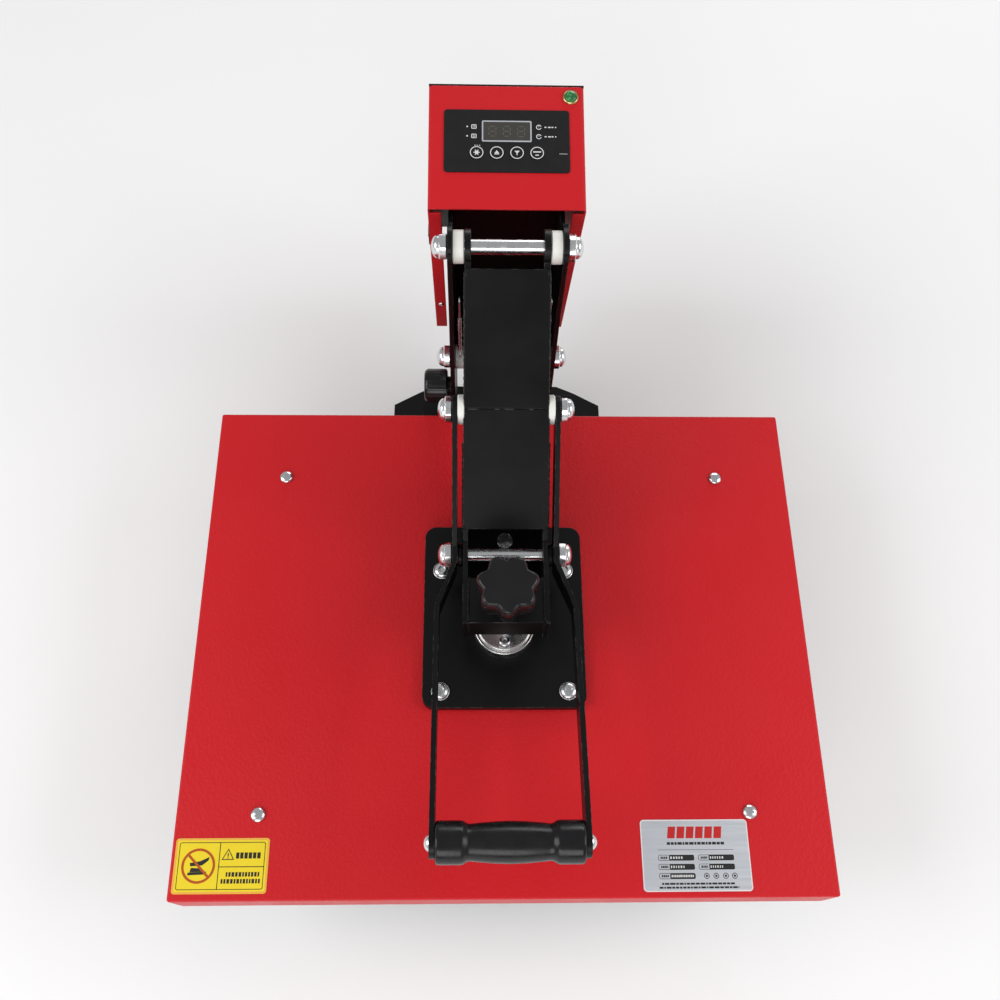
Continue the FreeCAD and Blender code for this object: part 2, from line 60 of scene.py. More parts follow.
COVER_LOW, COVER_HIGH = (Vector(corner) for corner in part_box("platen_cover"))
COVER_TOP = COVER_HIGH.z
PLATEN_Y = (COVER_LOW.y + COVER_HIGH.y) / 2
PLATEN_AXIS = Matrix.Translation((0, PLATEN_Y, 0))
TOP_PIVOT = Vector(JOINTS["link_swing"]["pos_m"])
LOWER_PIVOT = Vector(JOINTS["arm_lift"]["pos_m"])
FRONT_PIVOT = Vector(JOINTS["handle_swing"]["pos_m"])
TOGGLE_PIVOT = middle("toggle_washers")
PANEL_AXIS = -Vector(JOINTS["key_1_press"]["axis"])
PANEL_BACK = Vector(JOINTS["power_switch"]["axis"])
SIDES = (-1, 1)
ALONG_X = (1, 0, 0)
UPWARDS = (0, 0, 1)
ROOT_THREE = math.sqrt(3)
ARM_FACE = 0.0345           # outer face of the arm plates, either side of the middle


# ---- materials ----
WEAR_REACH = 0.0009         # how far worn paint reaches from an edge
WEAR_GRAIN = 160.0          # scale of the noise that breaks the wear up


def put(node, **values):
    """Sets plain values on a shader node's inputs. An underscore stands for a space."""
    for key, value in values.items():
        node.inputs[key.replace("_", " ")].default_value = value


class Shade:
    """A node material under construction: one principled shader and short helpers."""

    def __init__(self, name, color, metallic=0.0, roughness=0.5, **sockets):
        self.mat = bpy.data.materials.new(name)
        self.mat.use_nodes = True
        self.tree = self.mat.node_tree
        self.bsdf = self.tree.nodes["Principled BSDF"]
        put(self.bsdf, Base_Color=(*color, 1.0), Metallic=metallic, Roughness=roughness, **sockets)
        self.coords = self.node("ShaderNodeTexCoord").outputs["Object"]

    def node(self, kind, **settings):
        made = self.tree.nodes.new(kind)
        for key, value in settings.items():
            setattr(made, key, value)
        return made

    def link(self, source, target):
        self.tree.links.new(source, target)

    def noise(self, scale, detail=3.0, stretch=None):
        made = self.node("ShaderNodeTexNoise")
        put(made, Scale=scale, Detail=detail, Roughness=0.55)
        self.link(self.stretched(stretch), made.inputs["Vector"])
        return made.outputs["Fac"]

    def cells(self, scale):
        made = self.node("ShaderNodeTexVoronoi")
        put(made, Scale=scale)
        self.link(self.coords, made.inputs["Vector"])
        return made.outputs["Distance"]

    def stretched(self, stretch):
        if stretch is None:
            return self.coords
        mapping = self.node("ShaderNodeMapping")
        put(mapping, Scale=stretch)
        self.link(self.coords, mapping.inputs["Vector"])
        return mapping.outputs["Vector"]

    def span(self, source, low, high, from_low=0.3, from_high=0.7):
        made = self.node("ShaderNodeMapRange")
        put(made, From_Min=from_low, From_Max=from_high, To_Min=low, To_Max=high)
        self.link(source, made.inputs["Value"])
        return made.outputs["Result"]

    def mix(self, factor, first, second):
        made = self.node("ShaderNodeMix", data_type="RGBA")
        self.link(factor, made.inputs["Factor"])
        for socket, value in ((made.inputs[6], first), (made.inputs[7], second)):
            if isinstance(value, tuple):
                socket.default_value = (*value, 1.0)
            else:
                self.link(value, socket)
        return made.outputs[2]

    def soft_normal(self, radius):
        """Surface normal with the sharp edges rounded off."""
        made = self.node("ShaderNodeBevel", samples=4)
        put(made, Radius=radius)
        return made.outputs["Normal"]

    def edges(self):
        """1 on worn edges, 0 elsewhere, broken up by noise."""
        plain = self.node("ShaderNodeNewGeometry").outputs["Normal"]
        compare = self.node("ShaderNodeVectorMath", operation="DOT_PRODUCT")
        self.link(self.soft_normal(WEAR_REACH), compare.inputs[0])
        self.link(plain, compare.inputs[1])
        near = self.span(compare.outputs["Value"], 1.0, 0.0, 0.80, 0.985)
        spots = self.span(self.noise(WEAR_GRAIN), 0.0, 1.0, 0.5, 0.62)
        both = self.node("ShaderNodeMath", operation="MULTIPLY")
        self.link(near, both.inputs[0])
        self.link(spots, both.inputs[1])
        return both.outputs[0]

    def color(self, source):
        self.link(source, self.bsdf.inputs["Base Color"])

    def rough(self, source):
        self.link(source, self.bsdf.inputs["Roughness"])

    def bump(self, *layers, rounding=0.0):
        """Each layer is (height source, strength, distance in metres)."""
        normal = self.soft_normal(rounding) if rounding else None
        for source, strength, distance in layers:
            made = self.node("ShaderNodeBump")
            put(made, Strength=strength, Distance=distance)
            self.link(source, made.inputs["Height"])
            if normal is not None:
                self.link(normal, made.inputs["Normal"])
            normal = made.outputs["Normal"]
        self.link(normal, self.bsdf.inputs["Normal"])


def mottled(name, color, grain, polish, relief=None, rounding=0.0, stretch=None, **sockets):
    """A surface whose colour and gloss wander.

    grain is (noise scale, detail, first colour, second colour), polish is (noise scale, detail, least and
    most roughness) and relief is (noise scale, detail, strength, distance). stretch draws the relief out.
    """
    s = Shade(name, color, **sockets)
    s.color(s.mix(s.noise(*grain[:2]), *grain[2:]))
    s.rough(s.span(s.noise(*polish[:2]), *polish[2:]))
    if relief:
        s.bump((s.noise(*relief[:2], stretch), *relief[2:]), rounding=rounding)
    return s.mat


def film(name, color, gloss):
    """Printed or textured polyester film. Also gives the grey painted shade in the cover screw recesses."""
    darker = tuple(c * 0.88 for c in color)
    return mottled(name, color, (40.0, 4.0, darker, color), (160.0, 3.0, gloss - 0.05, gloss + 0.08),
                   (1500.0, 2.0, 0.08, 0.0002), roughness=gloss, Specular_IOR_Level=0.3)


def red_powder():
    s = Shade("red_leather_powder_coat", (0.50, 0.008, 0.012), roughness=0.4, Specular_IOR_Level=0.3)
    broad = s.noise(3.0, 2.0)
    fine = s.noise(900.0, 2.0)
    base = s.mix(broad, (0.50, 0.0065, 0.011), (0.60, 0.0095, 0.015))
    speckled = s.mix(s.span(fine, 0.0, 0.3, 0.62, 0.8), base, (0.70, 0.03, 0.04))
    s.color(s.mix(s.span(s.edges(), 0.0, 0.4, 0.0, 1.0), speckled, (0.72, 0.16, 0.17)))
    s.rough(s.span(s.noise(14.0, 4.0), 0.36, 0.48))
    s.bump((s.cells(400.0), 0.34, 0.0005), (s.noise(240.0, 4.0), 0.2, 0.0005), rounding=0.0012)
    return s.mat


def black_powder():
    s = Shade("black_powder_coat", (0.004, 0.004, 0.0045), roughness=0.34, Specular_IOR_Level=0.2)
    s.color(s.mix(s.span(s.edges(), 0.0, 1.0, 0.0, 1.0),
                  s.mix(s.noise(5.0, 3.0), (0.0028, 0.0028, 0.0032), (0.005, 0.0053, 0.0056)),
                  (0.12, 0.12, 0.122)))
    s.rough(s.span(s.noise(20.0, 5.0), 0.26, 0.44))
    s.bump((s.noise(420.0, 3.0), 0.2, 0.0003), (s.noise(60.0, 2.0), 0.12, 0.0006), rounding=0.0009)
    return s.mat


def turned_steel():
    """Bright steel with fine grooves about the platen's upright axis."""
    groove_rate = 14000.0      # radians of groove wave in a metre of radius
    s = Shade("turned_steel", (0.62, 0.62, 0.62), metallic=1.0, roughness=0.25)
    radial = s.node("ShaderNodeVectorMath", operation="SUBTRACT")
    s.link(s.coords, radial.inputs[0])
    radial.inputs[1].default_value = (0.0, PLATEN_Y, 0.0)
    flat = s.node("ShaderNodeVectorMath", operation="MULTIPLY")
    s.link(radial.outputs[0], flat.inputs[0])
    flat.inputs[1].default_value = (1.0, 1.0, 0.0)
    distance = s.node("ShaderNodeVectorMath", operation="LENGTH")
    s.link(flat.outputs[0], distance.inputs[0])
    grooves = s.node("ShaderNodeMath", operation="SINE")
    scaled = s.node("ShaderNodeMath", operation="MULTIPLY")
    s.link(distance.outputs["Value"], scaled.inputs[0])
    scaled.inputs[1].default_value = groove_rate
    s.link(scaled.outputs[0], grooves.inputs[0])
    s.color(s.mix(s.noise(60.0), (0.52, 0.52, 0.52), (0.74, 0.74, 0.73)))
    s.rough(s.span(s.noise(130.0), 0.18, 0.34))
    s.bump((grooves.outputs[0], 0.12, 0.0002))
    return s.mat


def aluminium():
    s = Shade("milled_aluminium", (0.72, 0.72, 0.73), metallic=1.0, roughness=0.35)
    lines = s.noise(500.0, 2.0, stretch=(0.04, 1.0, 1.0))
    s.color(s.mix(s.noise(18.0), (0.62, 0.62, 0.63), (0.78, 0.78, 0.79)))
    s.rough(s.span(lines, 0.28, 0.46))
    s.bump((lines, 0.15, 0.0002), rounding=0.0008)
    return s.mat


def rubber(name, color):
    s = Shade(name, color, roughness=0.75)
    darker = tuple(c * 0.75 for c in color)
    lighter = tuple(min(1.0, c * 1.2) for c in color)
    s.color(s.mix(s.noise(25.0, 5.0), darker, lighter))
    s.rough(s.span(s.noise(80.0), 0.66, 0.85))
    s.bump((s.cells(600.0), 0.25, 0.0005), (s.noise(150.0, 4.0), 0.2, 0.0006))
    return s.mat


def felt():
    s = Shade("ceramic_felt", (0.82, 0.80, 0.74), roughness=0.95)
    s.color(s.mix(s.noise(400.0, 6.0), (0.66, 0.64, 0.58), (0.88, 0.86, 0.80)))
    s.bump((s.noise(700.0, 6.0), 0.5, 0.001))
    return s.mat


def foil():
    s = Shade("silver_foil", (0.72, 0.75, 0.80), metallic=0.75, roughness=0.34)
    lines = s.noise(900.0, 2.0, stretch=(0.02, 1.0, 1.0))
    s.color(s.mix(s.noise(12.0), (0.66, 0.70, 0.76), (0.80, 0.82, 0.86)))
    s.rough(s.span(lines, 0.28, 0.42))
    s.bump((lines, 0.06, 0.0001))
    return s.mat


def green_lens():
    s = Shade("green_lens", (0.03, 0.26, 0.06), roughness=0.15, Coat_Weight=0.6)
    facets = s.cells(520.0)
    s.color(s.mix(s.span(facets, 0.0, 1.0, 0.1, 0.6), (0.05, 0.42, 0.10), (0.01, 0.12, 0.03)))
    s.rough(s.span(s.noise(90.0), 0.1, 0.2))
    s.bump((facets, 0.5, 0.0006))
    return s.mat


def circuit():
    s = Shade("circuit_board", (0.02, 0.13, 0.05), roughness=0.4)
    s.color(s.mix(s.span(s.cells(260.0), 0.0, 1.0, 0.2, 0.5), (0.015, 0.10, 0.04), (0.05, 0.24, 0.09)))
    s.rough(s.span(s.noise(100.0), 0.3, 0.5))
    return s.mat


MATERIALS = {
    "red_powder_coat": red_powder(),
    "black_powder_coat": black_powder(),
    "zinc_plate": mottled("bright_zinc", (0.72, 0.73, 0.75),
                          (90.0, 3.0, (0.60, 0.62, 0.66), (0.84, 0.84, 0.83)),
                          (160.0, 4.0, 0.12, 0.34), (700.0, 3.0, 0.12, 0.0002), 0.0004,
                          metallic=1.0, roughness=0.2),
    "turned_steel": turned_steel(),
    "bare_aluminium": aluminium(),
    "silicone": rubber("silicone_sponge", (0.50, 0.13, 0.07)),
    "foot_rubber": rubber("foot_rubber_black", (0.02, 0.02, 0.02)),
    "insulation": felt(),
    "nylon": mottled("natural_nylon", (0.82, 0.79, 0.74),
                     (70.0, 4.0, (0.74, 0.71, 0.66), (0.88, 0.85, 0.80)),
                     (200.0, 3.0, 0.35, 0.5), (500.0, 3.0, 0.1, 0.0002),
                     roughness=0.42, Subsurface_Weight=0.08),
    "black_plastic": mottled("black_phenolic", (0.006, 0.006, 0.007),
                             (30.0, 3.0, (0.005, 0.005, 0.006), (0.010, 0.010, 0.011)),
                             (60.0, 5.0, 0.14, 0.3), (260.0, 3.0, 0.06, 0.0003),
                             roughness=0.18, Specular_IOR_Level=0.3),
    "overlay_film": film("overlay_black_film", (0.008, 0.008, 0.009), 0.42),
    "display": mottled("smoked_window", (0.05, 0.047, 0.042),
                       (120.0, 3.0, (0.042, 0.040, 0.036), (0.060, 0.057, 0.051)),
                       (90.0, 3.0, 0.12, 0.2), roughness=0.2, Specular_IOR_Level=0.3),
    "circuit": circuit(),
    "green_lens": green_lens(),
    "label_yellow": film("label_yellow_vinyl", (0.86, 0.66, 0.025), 0.36),
    "label_silver": foil(),
}
SPRING = mottled("spring_steel", (0.5, 0.5, 0.52), (120.0, 3.0, (0.42, 0.42, 0.44), (0.62, 0.62, 0.63)),
                 (300.0, 3.0, 0.2, 0.36), metallic=1.0, roughness=0.28)
GRIP = mottled("black_grip_plastic", (0.004, 0.004, 0.005),
               (40.0, 3.0, (0.004, 0.004, 0.005), (0.009, 0.009, 0.010)), (90.0, 5.0, 0.16, 0.34),
               (300.0, 2.0, 0.08, 0.0003), stretch=(0.1, 1.0, 1.0), roughness=0.2, Specular_IOR_Level=0.3)
BRASS = mottled("brass_rim", (0.56, 0.42, 0.18), (200.0, 3.0, (0.44, 0.33, 0.14), (0.66, 0.50, 0.24)),
                (300.0, 3.0, 0.22, 0.4), metallic=1.0, roughness=0.3)
PRINT_WHITE = film("print_white", (0.70, 0.70, 0.70), 0.45)
# Grey painted shade for the cross recesses in the cover screw heads, not print.
RECESS_SHADE_GREY = film("painted_recess_shade", (0.30, 0.31, 0.33), 0.45)
PRINT_BLACK = film("print_black", (0.02, 0.02, 0.02), 0.45)
PRINT_RED = film("print_red", (0.55, 0.02, 0.02), 0.42)
PRINT_ORANGE = film("print_orange", (0.46, 0.085, 0.012), 0.42)
PRINT_AMBER = film("print_amber", (0.84, 0.42, 0.08), 0.42)
PRINT_PALE = film("print_pale", (0.86, 0.74, 0.74), 0.42)
LED_OFF = film("led_segment_off", (0.105, 0.10, 0.09), 0.3)


def dress_cad_nodes():
    """Gives every CAD node its slot's material."""
    for name, obj in NODES.items():
        obj.data.materials.clear()
        obj.data.materials.append(MATERIALS[SLOTS[name]])


dress_cad_nodes()


# ---- mesh helpers ----
def linked(name, data):
    """A new object in the scene that holds the data."""
    obj = bpy.data.objects.new(name, data)
    bpy.context.scene.collection.objects.link(obj)
    return obj


def finish_piece(name, mesh, material, body, smooth=40.0):
    """Puts a mesh in the scene on its body. Edges flatter than smooth degrees are shaded smooth."""
    obj = linked(name, mesh)
    mesh.materials.clear()
    mesh.materials.append(material)
    mesh.validate()
    bm = bmesh.new()
    bm.from_mesh(mesh)
    bmesh.ops.recalc_face_normals(bm, faces=bm.faces)
    limit = math.radians(smooth)
    for edge in bm.edges:
        edge.smooth = len(edge.link_faces) == 2 and edge.calc_face_angle(0.0) < limit
    for face in bm.faces:
        face.smooth = True
    bm.to_mesh(mesh)
    bm.free()
    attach(obj, body)
    return obj


def stand_in(node, ending, build, slot, body, smooth=40.0, material=None):
    """A finer piece that replaces a CAD node. Its material is its slot's, unless another is given."""
    obj = finish_piece(node + ending, build.mesh(node), material or MATERIALS[slot], body, smooth)
    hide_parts(node)


class Build:
    """Collects several closed shapes into one mesh."""

    def __init__(self):
        self.verts = []
        self.faces = []

    def add(self, verts, faces, matrix=None):
        start = len(self.verts)
        for v in verts:
            self.verts.append(matrix @ Vector(v) if matrix else Vector(v))
        self.faces.extend([tuple(start + i for i in face) for face in faces])

    def lathe(self, profile, matrix, segments=48):
        """Turns (radius, height) points about Z. The first and last points close the shape."""
        verts = []
        rings = []
        for radius, height in profile:
            if radius < 1e-7:
                rings.append([len(verts)])
                verts.append((0, 0, height))
                continue
            ring = []
            for i in range(segments):
                turn = 2 * math.pi * i / segments
                ring.append(len(verts))
                verts.append((radius * math.cos(turn), radius * math.sin(turn), height))
            rings.append(ring)
        self.add(verts, bridged(rings, segments), matrix)

    def tube(self, points, radius, segments=10):
        """A round bar along a list of points, with an optional radius for each point."""
        radii = radius if isinstance(radius, (list, tuple)) else [radius] * len(points)
        pts = [Vector(p) for p in points]
        verts = []
        rings = []
        side = None
        for i, point in enumerate(pts):
            ahead = pts[min(i + 1, len(pts) - 1)] - pts[max(i - 1, 0)]
            ahead.normalize()
            if side is None:
                helper = Vector((0, 0, 1)) if abs(ahead.z) < 0.9 else Vector((1, 0, 0))
                side = ahead.cross(helper).normalized()
            side = (side - ahead * side.dot(ahead)).normalized()
            other = ahead.cross(side)
            ring = []
            for k in range(segments):
                turn = 2 * math.pi * k / segments
                ring.append(len(verts))
                verts.append(point + (side * math.cos(turn) + other * math.sin(turn)) * radii[i])
            rings.append(ring)
        self.add(verts, bridged(rings, segments) + capped(rings))

    def prism(self, outline, height, matrix, z0=0.0):
        """A flat-ended prism from (x, y) points, standing on z0."""
        count = len(outline)
        verts = [(x, y, z0) for x, y in outline] + [(x, y, z0 + height) for x, y in outline]
        faces = [tuple(reversed(range(count))), tuple(range(count, 2 * count))]
        for i in range(count):
            j = (i + 1) % count
            faces.append((i, j, count + j, count + i))
        self.add(verts, faces, matrix)

    def ring(self, outer, inner, height, matrix, z0=0.0, segments=40):
        profile = [(inner, z0), (outer, z0), (outer, z0 + height), (inner, z0 + height), (inner, z0)]
        self.lathe(profile, matrix, segments)

    def mesh(self, name):
        made = bpy.data.meshes.new(name)
        made.from_pydata([tuple(v) for v in self.verts], [], self.faces)
        bm = bmesh.new()
        bm.from_mesh(made)
        bmesh.ops.remove_doubles(bm, verts=bm.verts, dist=1e-7)
        bm.to_mesh(made)
        bm.free()
        return made


def bridged(rings, segments):
    faces = []
    for low, high in zip(rings, rings[1:]):
        if len(low) == 1 and len(high) == 1:
            continue
        for i in range(segments):
            j = (i + 1) % segments
            if len(low) == 1:
                faces.append((low[0], high[i], high[j]))
            elif len(high) == 1:
                faces.append((low[i], low[j], high[0]))
            else:
                faces.append((low[i], low[j], high[j], high[i]))
    return faces


def capped(rings):
    """Flat faces that close the first and the last ring."""
    return [tuple(reversed(rings[0])), tuple(rings[-1])]


def ring_stack(heights, segments, radius_at):
    """Rings about Z, one at each height. radius_at takes the ring's number and the step round it."""
    verts = []
    rings = []
    for level, z in enumerate(heights):
        rings.append(list(range(len(verts), len(verts) + segments)))
        for i in range(segments):
            turn = 2 * math.pi * i / segments
            r = radius_at(level, i)
            verts.append((r * math.cos(turn), r * math.sin(turn), z))
    return verts, rings


def placed(origin, axis, spin=0.0):
    """Matrix that takes +Z to axis at origin."""
    turn = Vector(UPWARDS).rotation_difference(Vector(axis)).to_matrix().to_4x4()
    return Matrix.Translation(Vector(origin)) @ turn @ Matrix.Rotation(spin, 4, "Z")


def quarter(count):
    """Angles from just above 0 to 90 degrees in equal steps."""
    return [math.pi / 2 * i / count for i in range(1, count + 1)]


def circle(radius, count):
    turns = [2 * math.pi * i / count for i in range(count)]
    return [(radius * math.cos(turn), radius * math.sin(turn)) for turn in turns]


def rounded_outline(x0, x1, y0, y1, radius, steps=6):
    points = []
    for cx, cy, start in ((x1 - radius, y1 - radius, 0), (x0 + radius, y1 - radius, 90),
                          (x0 + radius, y0 + radius, 180), (x1 - radius, y0 + radius, 270)):
        for i in range(steps + 1):
            turn = math.radians(start + 90 * i / steps)
            points.append((cx + radius * math.cos(turn), cy + radius * math.sin(turn)))
    return points


def soften(obj, width, angle):
    """Rounds the edges that are sharper than angle."""
    made = obj.modifiers.new("soft_edges", "BEVEL")
    made.width = width
    made.segments = 3
    made.limit_method = "ANGLE"
    made.angle_limit = math.radians(angle)


# ---- fasteners ----
def acorn(build, origin, axis, flats, hex_height, dome, spin):
    """Domed cap nut: chamfered hexagon, collar and polished dome."""
    matrix = placed(origin, axis, spin)
    outline = circle(flats / ROOT_THREE, 6)
    rounded = []
    for i in range(6):
        here = Vector(outline[i])
        for other in (outline[i - 1], outline[(i + 1) % 6]):
            rounded.append(tuple(here.lerp(Vector(other), 0.06)))
    chamfer = 0.0009
    layers = [(0.93, 0.0), (1.0, chamfer), (1.0, hex_height - chamfer), (0.90, hex_height)]
    verts = []
    rings = []
    for scale, z in layers:
        rings.append(list(range(len(verts), len(verts) + len(rounded))))
        verts.extend([(x * scale, y * scale, z) for x, y in rounded])
    build.add(verts, bridged(rings, len(rounded)) + capped(rings), matrix)
    radius = flats / 2 * 0.93
    collar = 0.18
    seat = hex_height - 0.0004
    profile = [(0.0, seat), (radius, seat), (radius, hex_height + dome * collar)]
    for turn in quarter(10):
        rise = collar + (1 - collar) * math.sin(turn)
        profile.append((radius * math.cos(turn), hex_height + dome * rise))
    build.lathe(profile, matrix, 40)


def socket_head(build, origin, radius, height):
    """Low domed head, standing upright, with a round recess in its own ring profile."""
    rim = radius * 0.42
    profile = [(0.0, 0.0), (radius * 0.96, 0.0), (radius, height * 0.18)]
    for turn in quarter(8)[:-1]:
        profile.append((rim + (radius - rim) * math.cos(turn), height * (0.25 + 0.75 * math.sin(turn))))
    profile += [(rim, height), (rim * 0.97, height * 0.93), (rim * 0.95, height * 0.35), (0.0, height * 0.3)]
    build.lathe(profile, placed(origin, UPWARDS), 36)


def cross_head(build, matrix, radius, height):
    """Pan head. The cross recess in it is a separate grey piece of painted shade."""
    profile = [(0.0, 0.0), (radius, 0.0), (radius, height * 0.25)]
    for turn in quarter(8)[:-1]:
        profile.append((radius * math.cos(turn), height * (0.25 + 0.75 * math.sin(turn))))
    profile.append((0.0, height))
    build.lathe(profile, matrix, 36)


def cross_recess_shade(build, matrix, radius, height):
    """The grey cross of painted shade set into a pan head, standing in for the shaded recess."""
    wide = radius * 0.13
    arm = radius * 0.5
    points = [(wide, wide), (wide, arm), (-wide, arm), (-wide, wide), (-arm, wide), (-arm, -wide),
              (-wide, -wide), (-wide, -arm), (wide, -arm), (wide, -wide), (arm, -wide), (arm, wide)]
    build.prism(points, height * 0.3, matrix, height * 0.74)


def pivot_hardware():
    """Cap nuts and bolts on every pivot's ends: node, body, pivots, hexagon height, dome height."""
    flats = 0.019
    sets = (("frame_cap_nuts", "frame", (TOP_PIVOT, LOWER_PIVOT), 0.0065, 0.006),
            ("front_cap_nuts", "arm", (FRONT_PIVOT,), 0.0065, 0.005),
            ("toggle_cap_bolts", "handle", (TOGGLE_PIVOT,), 0.006, 0.0055))
    spins = random.Random(7)
    for node, body, pivots, tall, dome in sets:
        build = Build()
        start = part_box(node)[1][0] - dome - tall
        for pivot in pivots:
            for side in SIDES:
                origin = Vector((side * start, pivot.y, pivot.z))
                acorn(build, origin, (side, 0, 0), flats, tall, dome, spins.uniform(0, 1))
        stand_in(node, "_fine", build, "zinc_plate", body, 34)


def front_spacers():
    """Blackened collars between the arm plates and the handle bars."""
    bore = 0.0089
    radius = 0.0097
    long = 0.0045
    chamfer = 0.0004
    edge = radius - 0.0003
    profile = [(bore, 0.0), (edge, 0.0), (radius, chamfer), (radius, long - chamfer), (edge, long),
               (bore, long), (bore, 0.0)]
    build = Build()
    for side in SIDES:
        origin = Vector((side * ARM_FACE, FRONT_PIVOT.y, FRONT_PIVOT.z))
        build.lathe(profile, placed(origin, (side, 0, 0)), 48)
    finish_piece("front_pivot_collars", build.mesh("front_pivot_collars"), MATERIALS["black_powder_coat"],
                 "arm", 40)


def corners(node, inset):
    """The four corner places on the lowest face of a node's box."""
    low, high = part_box(node)
    across = (low[0] + inset, high[0] - inset)
    along = (low[1] + inset, high[1] - inset)
    return [(x, y, low[2]) for x in across for y in along]


def screws():
    """Cross-slotted cover screws, button-head plate bolts on washers and socket screws in the flange."""
    spins = random.Random(11)
    build = Build()
    shade_crosses = Build()
    size = 0.0058
    tall = 0.0034
    for origin in corners("cover_screws", size):
        matrix = placed(origin, UPWARDS, spins.uniform(0, 1.5))
        cross_head(build, matrix, size, tall)
        cross_recess_shade(shade_crosses, matrix, size, tall)
    stand_in("cover_screws", "_fine", build, "zinc_plate", "upper_platen")
    # The crosses are grey painted shade where the head recesses would be, not modelled hollows.
    finish_piece("cover_screw_recess_shade", shade_crosses.mesh("cover_screw_recess_shade"), RECESS_SHADE_GREY,
                 "upper_platen")
    build = Build()
    size = 0.007
    for x, y, z in corners("plate_bolts", size):
        socket_head(build, (x, y, z), size, 0.0044)
        build.ring(0.0076, 0.004, 0.0006, placed((x, y, z - 0.0001), UPWARDS))
    stand_in("plate_bolts", "_fine", build, "zinc_plate", "upper_platen")
    build = Build()
    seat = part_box("flange_screws")[0][2]
    circle_radius = 0.0155
    for turn in (-90, 30, 150):
        x = circle_radius * math.cos(math.radians(turn))
        y = PLATEN_Y + circle_radius * math.sin(math.radians(turn))
        socket_head(build, (x, y, seat), 0.0048, 0.0028)
    stand_in("flange_screws", "_fine", build, "zinc_plate", "upper_platen")


# ---- pressure knob and flange ----
def pressure_knob():
    """Seven-lobed hand knob with a dished top, built ring by ring."""
    low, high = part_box("pressure_knob")
    bottom = low[2]
    top = high[2]
    lobes = 7
    valley = 0.0202
    lobe = 0.0045
    dish = 0.0225
    segments = lobes * 20

    def radius_at(level, i):
        grow = layers[level][0]
        turn = 2 * math.pi * i / segments
        wave = (0.5 + 0.5 * math.cos(lobes * (turn + math.pi / 2))) ** 0.8
        radius = (valley + lobe * wave) * grow
        if grow >= 0.85:
            return radius
        blend = min(1.0, (0.85 - grow) / 0.3)
        return radius * (1 - blend) + dish * grow * blend

    layers = [(0.52, bottom + 0.0002), (0.56, bottom + 0.0002), (0.58, bottom + 0.004),
              (0.90, bottom + 0.0062), (0.97, bottom + 0.0075), (0.995, bottom + 0.010),
              (1.0, top - 0.0075), (0.99, top - 0.0042), (0.955, top - 0.0018), (0.90, top - 0.0005),
              (0.84, top - 0.0001), (0.70, top - 0.0006), (0.5, top - 0.0011), (0.3, top - 0.0013)]
    verts, rings = ring_stack([z for _, z in layers], segments, radius_at)
    faces = [tuple(reversed(rings[0]))]
    rings.append([len(verts)])
    verts.append((0.0, 0.0, top - 0.0014))
    build = Build()
    build.add(verts, faces + bridged(rings, segments), PLATEN_AXIS)
    stand_in("pressure_knob", "_moulded", build, "black_plastic", "pressure_drive", 60)


def thrust_flange():
    """Turned flange: a wide foot, a narrower drum and a bore for the screw."""
    low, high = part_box("thrust_flange")
    z0 = low[2]
    z1 = high[2]
    foot = 0.025
    drum = 0.0225
    bore = 0.0084
    step = z1 - 0.004
    floor = z1 - 0.0005
    sunk = z1 - 0.012
    profile = [(0.0, z0), (foot - 0.0004, z0), (foot, z0 + 0.0004), (foot, step - 0.0007),
               (foot - 0.0007, step), (drum + 0.0004, step + 0.0001), (drum, step + 0.0006),
               (drum, z1 - 0.0009), (drum - 0.0008, z1 - 0.0001), (drum - 0.0013, z1),
               (drum - 0.0022, z1 - 0.0003), (drum - 0.0027, floor), (bore + 0.0004, floor),
               (bore, floor - 0.0005), (bore, sunk), (0.0, sunk)]
    build = Build()
    build.lathe(profile, PLATEN_AXIS, 96)
    stand_in("thrust_flange", "_turned", build, "turned_steel", "upper_platen", 25)


def pressure_screw():
    """Screw with a real thread profile and its lock nut."""
    low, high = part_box("pressure_screw")
    radius = 0.0079
    depth = 0.0009
    pitch = 0.002
    steps = 28
    length = high[2] - low[2]
    halves = int(length / pitch) * 2
    climbs = [length * k / halves for k in range(halves + 1)]

    def radius_at(level, i):
        phase = climbs[level] / pitch - i / steps
        return radius - depth * abs(2 * (phase % 1.0) - 1)

    verts, rings = ring_stack([low[2] + climb for climb in climbs], steps, radius_at)
    build = Build()
    build.add(verts, bridged(rings, steps) + capped(rings), PLATEN_AXIS)
    nut_flats = 0.024
    nut_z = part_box("pressure_knob")[0][2] - 0.0091
    build.prism(circle(nut_flats / ROOT_THREE, 6), 0.0088, Matrix.Translation((0, PLATEN_Y, nut_z)))
    stand_in("pressure_screw", "_threaded", build, "zinc_plate", "pressure_drive", 30)


# ---- handle grip ----
def handle_grip():
    """Moulded grip: a collar at each end, a short waist beside it and a swelling barrel between."""
    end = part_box("handle_grip")[1][0]
    collar = [(0.0, 0.0), (0.0, 0.0134), (0.0004, 0.0143), (0.0014, 0.0149), (0.003, 0.015), (0.0176, 0.015),
              (0.0192, 0.0147), (0.0208, 0.0139), (0.0222, 0.0130), (0.0237, 0.0126), (0.0256, 0.0127),
              (0.0290, 0.0131)]
    barrel = end - collar[-1][0]
    swell = 0.0013
    profile = [(radius, end - back) for back, radius in collar]
    for i in range(1, 10):
        t = i / 10
        profile.append((collar[-1][1] + swell * math.sin(math.pi / 2 * t), barrel * (1 - t)))
    mirrored = [(radius, -x) for radius, x in reversed(profile)]
    build = Build()
    build.lathe(profile + [(0.01445, 0.0)] + mirrored, placed(middle("handle_grip"), ALONG_X), 64)
    stand_in("handle_grip", "_moulded", build, "black_plastic", "handle", 50, GRIP)


